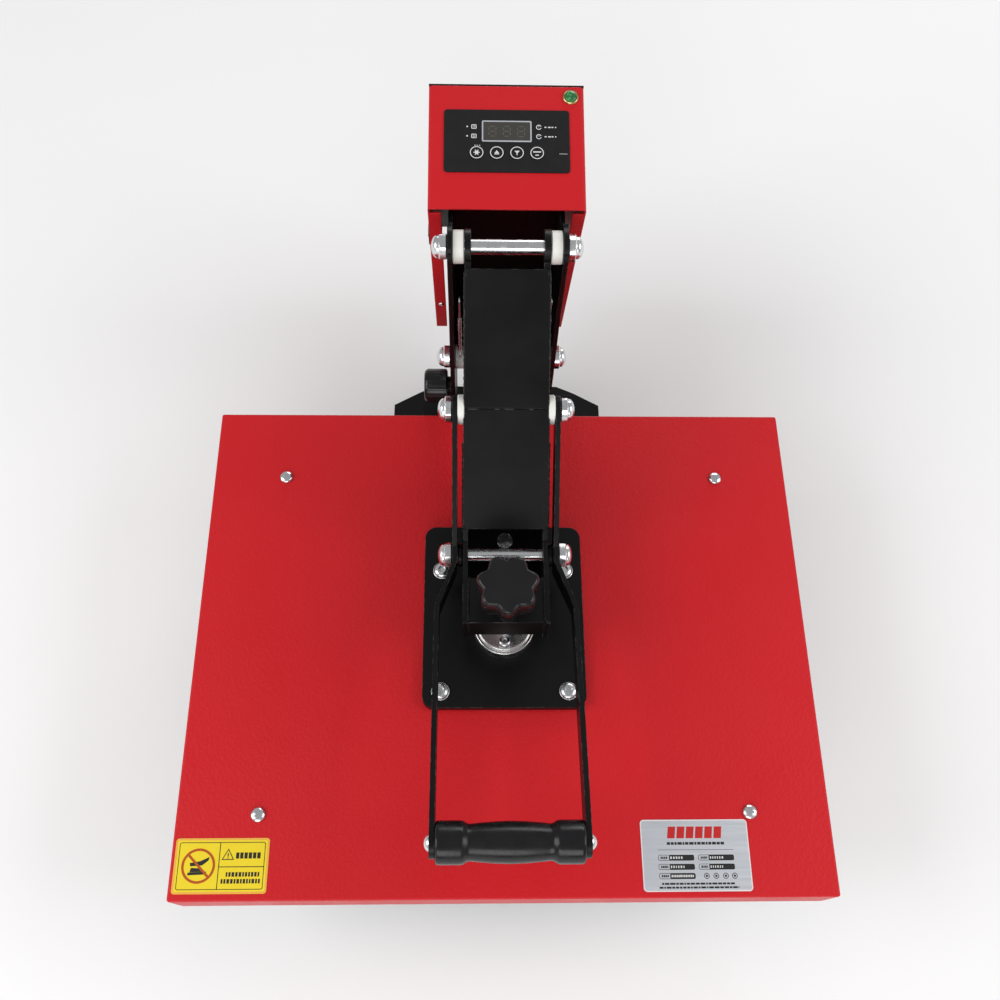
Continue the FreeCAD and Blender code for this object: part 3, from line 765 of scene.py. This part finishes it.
# ---- washers, springs, knob, feet ----
def washers():
    """Thick chamfered washers: node, body, then pivot, radius and thickness of each pair."""
    sets = (("toggle_washers", "link", ((TOGGLE_PIVOT, 0.012, 0.0053),)),
            ("frame_washers", "frame", ((TOP_PIVOT, 0.013, 0.0091), (LOWER_PIVOT, 0.011, 0.0083))))
    bore = 0.0061
    edge = 0.0007
    for node, body, pairs in sets:
        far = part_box(node)[1][0]
        build = Build()
        for pivot, radius, thick in pairs:
            profile = [(bore, 0.0), (radius - edge, 0.0), (radius, edge), (radius, thick - edge),
                       (radius - edge, thick), (bore, thick), (bore, 0.0)]
            for side in SIDES:
                build.lathe(profile, placed((side * (far - thick), pivot.y, pivot.z), (side, 0, 0)), 56)
        stand_in(node, "_fine", build, "nylon", body, 30)


def balance_springs():
    """Close-wound extension springs with a hook at each end."""
    low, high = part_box("balance_springs")
    coil = 0.00155
    wire = 0.00042
    hook = 0.0028
    per_turn = 10
    y = (low[1] + high[1]) / 2
    z0 = low[2] + 0.008
    z1 = high[2] - 0.030
    count = int((z1 - z0) / (wire * 2.25)) * per_turn
    build = Build()
    for side in SIDES:
        x = side * (high[0] - 0.002)
        points = []
        for i in range(count + 1):
            turn = 2 * math.pi * i / per_turn
            points.append((x + coil * math.cos(turn), y + coil * math.sin(turn), z0 + (z1 - z0) * i / count))
        build.tube(points, wire, 6)
        build.tube([(x, y, z1), (x, y, high[2] - 0.005)], 0.0009, 8)
        for z, way in ((high[2] - 0.0035, 1), (low[2] + 0.0045, -1)):
            loop = []
            for i in range(15):
                turn = math.radians(-60 + 300 * i / 14)
                loop.append((x, y + hook * math.cos(turn), z + way * hook * math.sin(turn)))
            build.tube(loop, 0.0006, 8)
    stand_in("balance_springs", "_coiled", build, "zinc_plate", "frame", 60, SPRING)


def lock_knob():
    """Fluted clamping knob on a short neck, its face turned away from the cheek."""
    low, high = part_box("lock_knob")
    centre = middle("lock_knob")
    outer = high[0] - low[0]
    segments = 96
    flutes = (3, 4)
    layers = [(0.0088, 0.0), (0.0090, 0.0026), (0.0142, 0.0030), (0.0156, 0.0042), (0.0156, outer - 0.0034),
              (0.0149, outer - 0.0014), (0.0136, outer - 0.0003), (0.0118, outer), (0.006, outer - 0.0008)]

    def radius_at(level, i):
        return layers[level][0] + (0.0003 if i % 4 < 2 and level in flutes else 0.0)

    verts, rings = ring_stack([x for _, x in layers], segments, radius_at)
    build = Build()
    matrix = placed((high[0], centre.y, centre.z), (-1, 0, 0))
    build.add(verts, bridged(rings, segments) + capped(rings), matrix)
    stand_in("lock_knob", "_fluted", build, "black_plastic", "lock_knob", 30)


def foot_pads():
    """Tapered rubber feet: two under the front plate, two closer together under the rear plate."""
    build = Build()
    spots = [(0.150, PLATEN_Y - 0.145), (0.092, PLATEN_Y + 0.262)]
    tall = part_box("foot_pads")[1][2]
    profile = [(0.0, 0.0), (0.0118, 0.0), (0.0138, 0.0004), (0.0142, 0.0014), (0.0158, tall - 0.004),
               (0.0168, tall - 0.0025), (0.0170, tall - 0.0002), (0.0168, tall), (0.0, tall)]
    for x, y in spots:
        for side in SIDES:
            build.lathe(profile, Matrix.Translation((side * x, y, 0)), 40)
    stand_in("foot_pads", "_moulded", build, "foot_rubber", "frame", 45)


def silicone_pad():
    """Sponge pad with soft edges and a slightly uneven top."""
    low, high = (Vector(corner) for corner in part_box("silicone_pad"))
    centre = (low + high) / 2
    size = high - low
    clearance = 0.0006
    rim = 0.47
    mesh = bpy.data.meshes.new("silicone_pad")
    bm = bmesh.new()
    bmesh.ops.create_grid(bm, x_segments=26, y_segments=26, size=0.5)
    for v in bm.verts:
        x = v.co.x
        y = v.co.y
        drop = 0.0011 * max(0.0, (max(abs(x), abs(y)) - rim) / (0.5 - rim)) ** 2
        ripple = 0.00018 * math.sin(23 * x + 2) * math.cos(19 * y)
        v.co = Vector((centre.x + x * (size.x - clearance), centre.y + y * (size.y - clearance),
                       high.z - 0.0004 - drop + ripple))
    made = bmesh.ops.extrude_face_region(bm, geom=list(bm.faces))
    for v in [g for g in made["geom"] if isinstance(g, bmesh.types.BMVert)]:
        v.co.z = low.z + 0.0002
    bm.to_mesh(mesh)
    bm.free()
    obj = finish_piece("silicone_pad_sponge", mesh, MATERIALS["silicone"], "frame", 50)
    soften(obj, 0.0016, 50)
    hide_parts("silicone_pad")


# ---- weld beads ----
def weld(build, start, end, radius, seed):
    """Lumpy fillet weld along a line."""
    rng = random.Random(seed)
    start = Vector(start)
    end = Vector(end)
    shake = 0.00012
    count = max(4, int((end - start).length / 0.0016))
    points = []
    radii = []
    for i in range(count + 1):
        points.append(start.lerp(end, i / count) + Vector([rng.uniform(-1, 1) * shake for _ in range(3)]))
        swell = 0.78 + 0.22 * math.sin(i * 2.1) + rng.uniform(-0.06, 0.06)
        radii.append(radius * swell * (0.55 if i in (0, count) else 1.0))
    build.tube(points, radii, 10)


def weld_beads():
    """Welds along the two top plates and round the nut bracket, and the blobs at their ends."""
    along = (TOP_PIVOT - FRONT_PIVOT).normalized()
    above = Vector((0, -along.z, along.y))
    length = (TOP_PIVOT - FRONT_PIVOT).length

    def at(x, s, offset):
        p = FRONT_PIVOT + along * s + above * offset
        return (x, p.y, p.z)

    lip = PLATEN_Y - 0.0152
    bracket = COVER_TOP + 0.0762
    arm = Build()
    link = Build()
    for side in SIDES:
        seam = side * ARM_FACE
        weld(arm, at(seam, 0.027, 0.0075), at(seam, 0.094, 0.0075), 0.0011, 3 + side)
        weld(arm, at(side * 0.0338, 0.0228, 0.0085), at(side * 0.0343, 0.0262, 0.0113), 0.0019, 13 + side)
        x = side * 0.0302
        weld(arm, (x, lip, bracket - 0.003), (x, lip, bracket - 0.026), 0.0013, 23 + side)
        weld(arm, (side * 0.0300, PLATEN_Y - 0.0135, bracket), (side * 0.0300, PLATEN_Y + 0.021, bracket),
             0.0012, 33 + side)
        weld(arm, (side * 0.0310, lip + 0.0006, bracket - 0.0006),
             (side * 0.0335, lip + 0.0012, bracket + 0.0002), 0.0018, 63 + side)
        weld(arm, (side * 0.0285, PLATEN_Y + 0.0225, bracket - 0.001), (x, PLATEN_Y + 0.0195, bracket),
             0.0014, 73 + side)
        seam = side * 0.0334
        weld(link, at(seam, 0.124, 0.0072), at(seam, length - 0.019, 0.0072), 0.0011, 43 + side)
        x = side * 0.0322
        weld(link, at(x, length - 0.0168, 0.0098), at(x, length - 0.0225, 0.0113), 0.0015, 53 + side)
    for build, body in ((arm, "arm"), (link, "link")):
        name = body + "_weld_beads"
        finish_piece(name, build.mesh(name), MATERIALS["black_powder_coat"], body, 60)


# ---- control panel print ----
PRINT_THICK = 0.00006
LIFT = 0.00001              # one print lies this far above another


def panel_matrix():
    """Frame of the panel face: x right, y up the panel, z out of it. Origin at the panel's centre line."""
    centre = (middle("panel_key_1") + middle("panel_key_4")) / 2
    rot = Matrix((Vector(ALONG_X), PANEL_BACK, PANEL_AXIS)).transposed().to_4x4()
    return Matrix.Translation(Vector((0, centre.y, centre.z))) @ rot


PANEL = panel_matrix()
KEY_FACE = 0.00195          # from a key's middle to its face
FILM_FACE = KEY_FACE - 0.0005


class Print(Build):
    """Thin flat shapes on one face. The matrix places the face and level is the height above it."""

    def __init__(self, matrix, level):
        super().__init__()
        self.matrix = matrix
        self.level = level

    def shape(self, points, lift=0.0):
        self.prism(points, PRINT_THICK, self.matrix, self.level + lift)

    def block(self, x0, x1, y0, y1, lift=0.0):
        self.shape([(x0, y0), (x1, y0), (x1, y1), (x0, y1)], lift)

    def dot(self, x, y, radius, count):
        self.shape([(x + px, y + py) for px, py in circle(radius, count)])

    def frame(self, x0, x1, y0, y1, wide, radius, thick=PRINT_THICK):
        """A thin closed frame with rounded corners."""
        inner_radius = max(radius - wide, 0.00005)
        outer = rounded_outline(x0, x1, y0, y1, radius)
        inner = rounded_outline(x0 + wide, x1 - wide, y0 + wide, y1 - wide, inner_radius)
        count = len(outer)
        verts = []
        for z in (self.level, self.level + thick):
            verts.extend([(x, y, z) for x, y in outer + inner])
        faces = []
        for i in range(count):
            j = (i + 1) % count
            faces.append((i, j, 2 * count + j, 2 * count + i))
            faces.append((count + j, count + i, 3 * count + i, 3 * count + j))
            faces.append((2 * count + i, 2 * count + j, 3 * count + j, 3 * count + i))
            faces.append((j, i, count + i, count + j))
        self.add(verts, faces, self.matrix)

    def arc(self, cx, cy, r0, r1, a0=0, a1=360, steps=24):
        """A band between two radii, from one angle to another in degrees."""
        turns = [math.radians(a0 + (a1 - a0) * i / steps) for i in range(steps + 1)]
        outline = [(cx + r1 * math.cos(turn), cy + r1 * math.sin(turn)) for turn in turns]
        outline += [(cx + r0 * math.cos(turn), cy + r0 * math.sin(turn)) for turn in reversed(turns)]
        total = len(outline)
        verts = [(x, y, z) for z in (self.level, self.level + PRINT_THICK) for x, y in outline]
        faces = []
        for i in range(steps):
            near = total - 1 - i
            faces.append((i, i + 1, near - 1, near))
            faces.append((total + i, total + near, total + near - 1, total + i + 1))
        for i in range(total):
            j = (i + 1) % total
            faces.append((i, total + i, total + j, j))
        self.add(verts, faces, self.matrix)

    def dashes(self, rng, x0, x1, y0, y1, lengths, gap, lift=0.0):
        """A row of short bars standing in for a line of print."""
        x = x0
        while x < x1 - lengths[0] / 2:
            step = rng.uniform(*lengths)
            self.block(x, min(x + step, x1), y0, y1, lift)
            x += step + gap

    def finish(self, name, material, slot, body="upper_platen"):
        finish_piece(name, self.mesh(name), material, body)


def key_rings():
    """A ring on each key, with a star, an up arrow, a down arrow and a bar pair inside."""
    for number in (1, 2, 3, 4):
        node = "panel_key_%d" % number
        x = middle(node).x
        icon = Print(PANEL, KEY_FACE + LIFT)
        icon.ring(0.0054, 0.0047, PRINT_THICK, PANEL @ Matrix.Translation((x, 0, 0)), KEY_FACE + LIFT, 40)
        if number == 1:
            icon.dot(x, 0, 0.0016, 10)
            ray = 0.0004
            for px, py in circle(0.0021, 6):
                icon.block(x + px - ray, x + px + ray, py - ray, py + ray, LIFT)
        elif number == 2:
            icon.shape([(x - 0.0019, -0.0006), (x + 0.0019, -0.0006), (x, 0.0021)])
            icon.block(x - 0.0019, x + 0.0019, -0.0017, -0.0009)
        elif number == 3:
            icon.shape([(x - 0.0021, 0.0017), (x, -0.0009), (x + 0.0021, 0.0017)])
            icon.block(x - 0.0004, x + 0.0004, -0.0021, -0.0007, LIFT)
        else:
            icon.block(x - 0.0032, x + 0.0032, 0.00035, 0.0014)
            icon.block(x - 0.0014, x + 0.0014, -0.0024, -0.0015)
        icon.finish(node + "_print", PRINT_WHITE, "overlay_film", "key_%d" % number)


def panel_print():
    """Window frame, indicator dots and plain icons. Plain bars stand where captions would be."""
    low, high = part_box("display_window")
    half = (high[0] - low[0]) / 2 + 0.0006
    window = Print(PANEL, FILM_FACE + LIFT)
    window.frame(-half, half, 0.0097, 0.0285, 0.0011, 0.0012, thick=0.00045)
    window.finish("window_frame", MATERIALS["label_silver"], "overlay_film", "frame")
    icons = Print(PANEL, FILM_FACE + LIFT)
    for y in (0.0232, 0.0148):
        icons.dot(-0.0318, y, 0.0007, 12)
        icons.frame(-0.0285, -0.0243, y - 0.0019, y + 0.0019, 0.0006, 0.0007)
        icons.block(-0.0274, -0.0254, y - 0.0006, y - 0.0002, LIFT)
        icons.block(-0.0274, -0.0254, y + 0.0004, y + 0.0008, LIFT)
        icons.arc(0.0258, y, 0.0016, 0.0022, 20, 340)
        icons.block(0.0256, 0.0260, y, y + 0.0014, LIFT)
        for i, wide in enumerate((0.0018, 0.0026, 0.0018, 0.0012)):
            x = 0.0304 + i * 0.0028
            icons.block(x, x + wide * 0.85, y - 0.0005, y + 0.0005)
    icons.block(0.0420, 0.0485, -0.0005, -0.0002)
    for i in range(3):
        x = middle("panel_key_1").x - 0.0018 + i * 0.0018
        icons.block(x, x + 0.0011, 0.0063, 0.0068)
    icons.finish("panel_icons", PRINT_WHITE, "overlay_film", "frame")


def digit_segments():
    """Unlit seven-segment digits behind the smoked window."""
    digits = Print(PANEL, KEY_FACE + LIFT - 0.0002)
    tall = 0.0042
    half = 0.0028
    bar = 0.0004
    cy = 0.0190
    for cx in (-0.0115, 0.0, 0.0115):
        for y in (-tall - 0.0002, 0.0, tall + 0.0002):
            digits.block(cx - half + 2 * bar, cx + half - 2 * bar, cy + y - bar, cy + y + bar)
        for x in (-half, half):
            for y in (-tall / 2, tall / 2):
                reach = tall / 2 - 2 * bar
                digits.block(cx + x - bar, cx + x + bar, cy + y - reach, cy + y + reach, LIFT)
    digits.finish("display_digits", LED_OFF, "display", "frame")


def pilot_lamp():
    """Green faceted lens in a brass rim."""
    x = (PANEL.inverted() @ middle("pilot_lamp")).x
    matrix = PANEL @ Matrix.Translation((x, 0.0510, FILM_FACE - 0.0008))
    radius = 0.0049
    profile = [(0.0, -0.004), (0.0038, -0.004), (0.0038, 0.0006), (radius, 0.0008)]
    for turn in quarter(8)[:-1]:
        profile.append((radius * math.cos(turn), 0.0016 + 0.0017 * math.sin(turn)))
    profile.append((0.0, 0.0033))
    lens = Build()
    lens.lathe(profile, matrix, 40)
    obj = finish_piece("pilot_lens", lens.mesh("pilot_lens"), MATERIALS["green_lens"], "frame",
                       50)
    rim = Build()
    ring = [(0.0050, 0.00005), (0.0064, 0.00005), (0.0066, 0.0004), (0.0063, 0.0012), (0.0057, 0.0017),
            (0.0050, 0.0014), (0.0050, 0.00005)]
    rim.lathe(ring, matrix, 48)
    finish_piece("pilot_rim", rim.mesh("pilot_rim"), BRASS, "frame", 50)
    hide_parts("pilot_lamp")


# ---- labels ----
def label_sheet(node):
    """Place, width and height of a label's top face."""
    low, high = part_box(node)
    return Matrix.Translation((low[0], low[1], high[2])), high[0] - low[0], high[1] - low[1]


def label_rim(node, band, name, material, slot):
    """The sticker's plain border."""
    matrix, wide, tall = label_sheet(node)
    inset = 0.0002
    rim = Print(matrix, LIFT)
    rim.frame(inset, wide - inset, inset, tall - inset, band, 0.0026)
    rim.finish(name, material, slot)


def triangle(cx, cy, radius):
    return [(cx + radius * math.cos(math.radians(a)), cy + radius * math.sin(math.radians(a)))
            for a in (90, 210, 330)]


def caution_label():
    """Generic hot-surface label: pictogram on the left, triangle and plain bars on the right."""
    matrix, wide, tall = label_sheet("caution_label")
    split = wide * 0.475
    mid = tall * 0.48
    edge = 0.0030
    line = 0.0003
    label_rim("caution_label", 0.0013, "caution_rim", PRINT_AMBER, "label_yellow")
    text = Print(matrix, LIFT)
    text.frame(edge, wide - edge, edge, tall - edge, 0.0005, 0.0016)
    text.block(split - line, split + line, edge, tall - edge)
    text.block(split, wide - edge, mid - line, mid + line)
    tri_x = split + 0.0066
    tri_y = (mid + tall - edge) / 2 - 0.0012
    outer = triangle(tri_x, tri_y, 0.0056)
    inner = triangle(tri_x, tri_y, 0.0044)
    for i in range(3):
        j = (i + 1) % 3
        text.shape([outer[i], outer[j], inner[j], inner[i]], LIFT)
    for y0, y1 in ((-0.0004, 0.0022), (-0.0018, -0.0010)):
        text.block(tri_x - 0.0004, tri_x + 0.0004, tri_y + y0, tri_y + y1)
    rng = random.Random(5)
    text.dashes(rng, split + 0.0128, wide - 0.0050, tri_y - 0.0019, tri_y + 0.0026, (0.0020, 0.0026), 0.0008)
    for left, right, y in ((0.16, 0.84, mid - 0.0072), (0.07, 0.89, mid - 0.0122)):
        x0 = split + (wide - split) * left
        x1 = split + (wide - split) * right
        text.dashes(rng, x0, x1, y, y + 0.0033, (0.0012, 0.0021), 0.0008)
    text.finish("caution_print", PRINT_BLACK, "label_yellow")
    cx = (edge + split) / 2
    cy = tall * 0.5
    radius = 0.0130
    ring = Print(matrix, LIFT)
    ring.arc(cx, cy, radius - 0.0019, radius, steps=48)
    ring.finish("caution_ring", PRINT_ORANGE, "label_yellow")
    symbol = Print(matrix, LIFT)
    plate = [(-0.0078, -0.0068), (0.0062, -0.0062), (0.0066, -0.0042), (-0.0074, -0.0048)]
    block = [(-0.0062, -0.0046), (0.0044, -0.0042), (0.0026, -0.0018), (-0.0054, -0.0014)]
    hand = [(-0.0066, 0.0022), (0.0010, 0.0034), (0.0082, 0.0066), (0.0076, 0.0040), (0.0030, 0.0004),
            (-0.0060, -0.0002)]
    for points in (plate, block, hand):
        symbol.shape([(cx + px, cy + py) for px, py in points])
    symbol.finish("caution_symbol", PRINT_BLACK, "label_yellow")
    reach = radius - 0.0014
    half = 0.0009
    ux = math.cos(math.radians(135))
    uy = math.sin(math.radians(135))
    slash = Print(matrix, LIFT + PRINT_THICK + LIFT)
    slash.shape([(cx + ux * reach * a - uy * half * b, cy + uy * reach * a + ux * half * b)
                 for a, b in ((1, 1), (-1, 1), (-1, -1), (1, -1))])
    slash.finish("caution_slash", PRINT_ORANGE, "label_yellow")


def rating_label():
    """Generic rating plate: leaning red blocks as a title, filled fields, rings and rows of plain bars."""
    matrix, wide, tall = label_sheet("rating_label")
    label_rim("rating_label", 0.0007, "rating_rim", PRINT_PALE, "label_silver")
    title = Print(matrix, LIFT)
    foot = tall * 0.735
    top = tall * 0.90
    lean = 0.0012
    for i in range(6):
        left = wide * (0.245 + i * 0.086)
        right = left + wide * 0.070
        title.shape([(left, foot), (right, foot), (right + lean, top), (left + lean, top)])
    title.finish("rating_title", PRINT_RED, "label_silver")
    rng = random.Random(9)
    dark = Print(matrix, LIFT)
    pale = Print(matrix, LIFT)
    dark.dashes(rng, wide * 0.24, wide * 0.77, tall * 0.645, tall * 0.682, (0.0014, 0.0038), 0.0006)
    dark.block(wide * 0.15, wide * 0.85, tall * 0.572, tall * 0.577)
    columns = ((0.150, 0.250, 0.482), (0.520, 0.615, 0.850))
    fields = [(row, column) for row in range(3) for column in columns]
    for row, (left, shade, right) in fields[:-1]:
        y = tall * (0.425 - row * 0.126)
        top = y + tall * 0.080
        inset = (top - y) * 0.30
        dark.frame(wide * left, wide * right, y, top, 0.00035, 0.0014)
        dark.shape(rounded_outline(wide * shade, wide * right, y, top, 0.0012))
        dark.dashes(rng, wide * (left + 0.022), wide * (shade - 0.012), y + inset, top - inset,
                    (0.0009, 0.0014), 0.0004)
        reach, gap = (0.6, 0.0010) if row < 2 else (0.93, 0.0004)
        pale.dashes(rng, wide * (shade + 0.012), wide * (shade + (right - shade) * reach), y + inset,
                    top - inset, (0.0007, 0.0013), gap, LIFT + PRINT_THICK)
    for left, right, y in ((0.170, 0.835, 0.095), (0.145, 0.872, 0.043)):
        dark.dashes(rng, wide * left, wide * right, tall * y, tall * (y + 0.026), (0.0012, 0.0044), 0.0006)
    for centre in (0.585, 0.672, 0.760, 0.842):
        dark.arc(wide * centre, tall * 0.213, 0.0017, 0.0022)
        dark.dot(wide * centre, tall * 0.213, 0.0009, 12)
    dark.finish("rating_print", PRINT_BLACK, "label_silver")
    pale.finish("rating_values", PRINT_WHITE, "label_silver")


# ---- stage ----
def light(name, location, target, size, power):
    data = bpy.data.lights.new(name, "AREA")
    data.shape = "RECTANGLE"
    data.size = size[0]
    data.size_y = size[1]
    data.energy = power
    obj = linked(name, data)
    obj.location = location
    obj.rotation_euler = (Vector(target) - Vector(location)).to_track_quat("-Z", "Y").to_euler()


def stage():
    """Pale floor, an even world and four soft area lights."""
    reach = 6.0
    mesh = bpy.data.meshes.new("floor")
    mesh.from_pydata([(-reach, -reach, 0), (reach, -reach, 0), (reach, reach, 0), (-reach, reach, 0)], [],
                     [(0, 1, 2, 3)])
    floor = linked("floor", mesh)
    s = Shade("pale_floor", (0.86, 0.86, 0.86), roughness=0.75)
    s.color(s.mix(s.noise(2.0), (0.84, 0.84, 0.84), (0.88, 0.88, 0.88)))
    mesh.materials.append(s.mat)
    world = bpy.data.worlds.new("studio")
    bpy.context.scene.world = world
    world.use_nodes = True
    world.node_tree.nodes["Background"].inputs["Color"].default_value = (1.0, 1.0, 1.0, 1.0)
    world.node_tree.nodes["Background"].inputs["Strength"].default_value = 0.42
    light("left_soft", (-2.1, -0.5, 1.7), (0, 0, 0.2), (1.5, 1.8), 34)
    light("right_soft", (2.1, -0.3, 1.6), (0, 0, 0.2), (1.4, 1.6), 26)
    light("front_fill", (-0.4, -2.4, 1.3), (0, 0, 0.25), (2.0, 1.2), 26)
    light("rear_rim", (0.6, 2.4, 1.2), (0, 0.1, 0.3), (1.8, 1.0), 18)
    bpy.context.scene.view_settings.view_transform = "Standard"


def camera():
    """Camera above the operator's side, looking down on the closed press."""
    pitch = math.radians(65.2)
    yaw = math.radians(3.77)
    roll = math.radians(3.56)
    away = Vector((math.sin(yaw) * math.cos(pitch), math.cos(yaw) * math.cos(pitch), -math.sin(pitch)))
    right = Vector((math.cos(yaw), -math.sin(yaw), 0))
    up = right.cross(away)
    turned = right * math.cos(roll) + up * math.sin(roll)
    upright = up * math.cos(roll) - right * math.sin(roll)
    data = bpy.data.cameras.new("camera")
    data.lens = 37.8
    data.sensor_width = 36.0
    data.clip_start = 0.01
    obj = linked("camera", data)
    rotation = Matrix((turned, upright, -away)).transposed().to_4x4()
    obj.matrix_world = Matrix.Translation((-0.028, PLATEN_Y - 0.272, COVER_TOP + 0.862)) @ rotation
    bpy.context.scene.camera = obj


for build_pieces in (pivot_hardware, front_spacers, screws, pressure_knob, thrust_flange, pressure_screw,
                     handle_grip, washers, balance_springs, lock_knob, foot_pads, silicone_pad, weld_beads,
                     key_rings, panel_print, digit_segments, pilot_lamp, caution_label, rating_label,
                     stage, camera):
    build_pieces()

bpy.context.view_layer.update()
